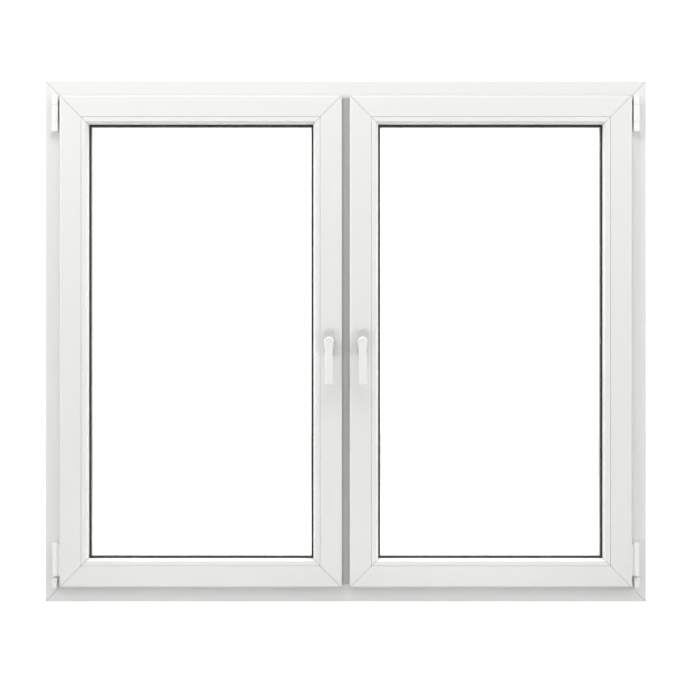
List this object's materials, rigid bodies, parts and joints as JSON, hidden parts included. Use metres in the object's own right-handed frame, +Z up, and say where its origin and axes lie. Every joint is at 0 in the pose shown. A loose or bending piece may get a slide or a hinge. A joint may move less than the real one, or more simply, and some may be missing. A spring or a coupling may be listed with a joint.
{
  "type": "casement window",
  "caption": "White PVC window with two side-hung sashes that open inwards or tilt inwards at the top, with lever handles and double glazing.",
  "frame": {"origin": "middle of the frame's bottom face", "axes": "+X to the right seen from the room, +Y from the room outwards, +Z up"},
  "size_m": [1.5, 0.14, 1.3],
  "materials": {
    "pvc_frame": "white PVC, satin gloss, co-extruded skin",
    "pvc_sash": "white PVC, satin gloss, co-extruded skin",
    "pvc_bead": "white PVC, satin gloss",
    "handle_white": "white powder coat on die-cast metal",
    "hinge_cover": "white powder coat and moulded covers",
    "rubber_seal": "black extruded rubber",
    "clear_glass": "clear float glass",
    "spacer_aluminium": "mill-finish spacer bar",
    "galvanised_steel": "galvanised, spangled",
    "zinc_steel": "zinc plated, silver",
    "pin_steel": "ground steel pin",
    "block_plastic": "moulded packing block"
  },
  "bodies": {
    "frame": {"frame_sill": "pvc_frame", "frame_head": "pvc_frame", "frame_jamb_left": "pvc_frame", "frame_jamb_right": "pvc_frame", "mullion": "pvc_frame", "frame_reinforcement": "galvanised_steel", "frame_seals": "rubber_seal", "strikers": "zinc_steel", "drain_caps": "pvc_frame", "hinge_studs": "zinc_steel", "stay_bearings": "hinge_cover", "corner_bearings": "hinge_cover"},
    "corner_pin_left": {"corner_pin_left": "pin_steel"},
    "sash_left": {"sash_top_rail_left": "pvc_sash", "sash_bottom_rail_left": "pvc_sash", "sash_hinge_stile_left": "pvc_sash", "sash_lock_stile_left": "pvc_sash", "sash_reinforcement_left": "galvanised_steel", "sash_seal_left": "rubber_seal", "glazing_beads_left": "pvc_bead", "glazing_gaskets_left": "rubber_seal", "pane_inner_left": "clear_glass", "pane_outer_left": "clear_glass", "spacer_bar_left": "spacer_aluminium", "edge_sealant_left": "rubber_seal", "setting_blocks_left": "block_plastic", "gear_case_left": "zinc_steel", "faceplates_left": "zinc_steel", "hinge_sleeve_left": "hinge_cover", "rosette_left": "handle_white", "rosette_screws_left": "zinc_steel"},
    "handle_left": {"lever_left": "handle_white", "spindle_left": "zinc_steel"},
    "drive_rod_left": {"drive_rod_left": "zinc_steel"},
    "stay_pin_left": {"stay_pin_left": "pin_steel"},
    "stay_arm_left": {"stay_arm_left": "zinc_steel"},
    "corner_pin_right": {"corner_pin_right": "pin_steel"},
    "sash_right": {"sash_top_rail_right": "pvc_sash", "sash_bottom_rail_right": "pvc_sash", "sash_hinge_stile_right": "pvc_sash", "sash_lock_stile_right": "pvc_sash", "sash_reinforcement_right": "galvanised_steel", "sash_seal_right": "rubber_seal", "glazing_beads_right": "pvc_bead", "glazing_gaskets_right": "rubber_seal", "pane_inner_right": "clear_glass", "pane_outer_right": "clear_glass", "spacer_bar_right": "spacer_aluminium", "edge_sealant_right": "rubber_seal", "setting_blocks_right": "block_plastic", "gear_case_right": "zinc_steel", "faceplates_right": "zinc_steel", "hinge_sleeve_right": "hinge_cover", "rosette_right": "handle_white", "rosette_screws_right": "zinc_steel"},
    "handle_right": {"lever_right": "handle_white", "spindle_right": "zinc_steel"},
    "drive_rod_right": {"drive_rod_right": "zinc_steel"},
    "stay_pin_right": {"stay_pin_right": "pin_steel"},
    "stay_arm_right": {"stay_arm_right": "zinc_steel"}
  },
  "joints": [
    {"name": "sash_left_tilt", "type": "hinge", "parent": "frame", "child": "corner_pin_left", "pos_m": [-0.7255, -0.0455, 0.042], "axis": [1, 0, 0], "range_deg": [0, 7]},
    {"name": "sash_left_turn", "type": "hinge", "parent": "corner_pin_left", "child": "sash_left", "pos_m": [-0.7255, -0.0455, 0.09], "axis": [0, 0, -1], "range_deg": [0, 100]},
    {"name": "handle_left_turn", "type": "hinge", "parent": "sash_left", "child": "handle_left", "pos_m": [-0.0415, -0.058, 0.65], "axis": [0, 1, 0], "range_deg": [0, 180]},
    {"name": "drive_rod_left_slide", "type": "slide", "parent": "sash_left", "child": "drive_rod_left", "axis": [0, 0, 1], "range_m": [0, 0.022]},
    {"name": "stay_pin_left_turn", "type": "hinge", "parent": "frame", "child": "stay_pin_left", "pos_m": [-0.7255, -0.0455, 1.218], "axis": [0, 0, -1], "range_deg": [0, 100]},
    {"name": "stay_arm_left_swing", "type": "hinge", "parent": "stay_pin_left", "child": "stay_arm_left", "pos_m": [-0.7255, -0.0455, 1.218], "axis": [0, 0, -1], "range_deg": [0, 28.61]},
    {"name": "sash_right_tilt", "type": "hinge", "parent": "frame", "child": "corner_pin_right", "pos_m": [0.7255, -0.0455, 0.042], "axis": [1, 0, 0], "range_deg": [0, 7]},
    {"name": "sash_right_turn", "type": "hinge", "parent": "corner_pin_right", "child": "sash_right", "pos_m": [0.7255, -0.0455, 0.09], "axis": [0, 0, 1], "range_deg": [0, 100]},
    {"name": "handle_right_turn", "type": "hinge", "parent": "sash_right", "child": "handle_right", "pos_m": [0.0415, -0.058, 0.65], "axis": [0, -1, 0], "range_deg": [0, 180]},
    {"name": "drive_rod_right_slide", "type": "slide", "parent": "sash_right", "child": "drive_rod_right", "axis": [0, 0, 1], "range_m": [0, 0.022]},
    {"name": "stay_pin_right_turn", "type": "hinge", "parent": "frame", "child": "stay_pin_right", "pos_m": [0.7255, -0.0455, 1.218], "axis": [0, 0, 1], "range_deg": [0, 100]},
    {"name": "stay_arm_right_swing", "type": "hinge", "parent": "stay_pin_right", "child": "stay_arm_right", "pos_m": [0.7255, -0.0455, 1.218], "axis": [0, 0, 1], "range_deg": [0, 28.61]}
  ],
  "couplings": [
    {"joint": "drive_rod_left_slide", "follows": "handle_left_turn", "m_per_rad": 0.0070028},
    {"joint": "stay_pin_left_turn", "follows": "sash_left_turn", "ratio": 1},
    {"joint": "stay_arm_left_swing", "follows": "sash_left_tilt", "ratio": 4.0877},
    {"joint": "drive_rod_right_slide", "follows": "handle_right_turn", "m_per_rad": 0.0070028},
    {"joint": "stay_pin_right_turn", "follows": "sash_right_turn", "ratio": 1},
    {"joint": "stay_arm_right_swing", "follows": "sash_right_tilt", "ratio": 4.0877}
  ]
}
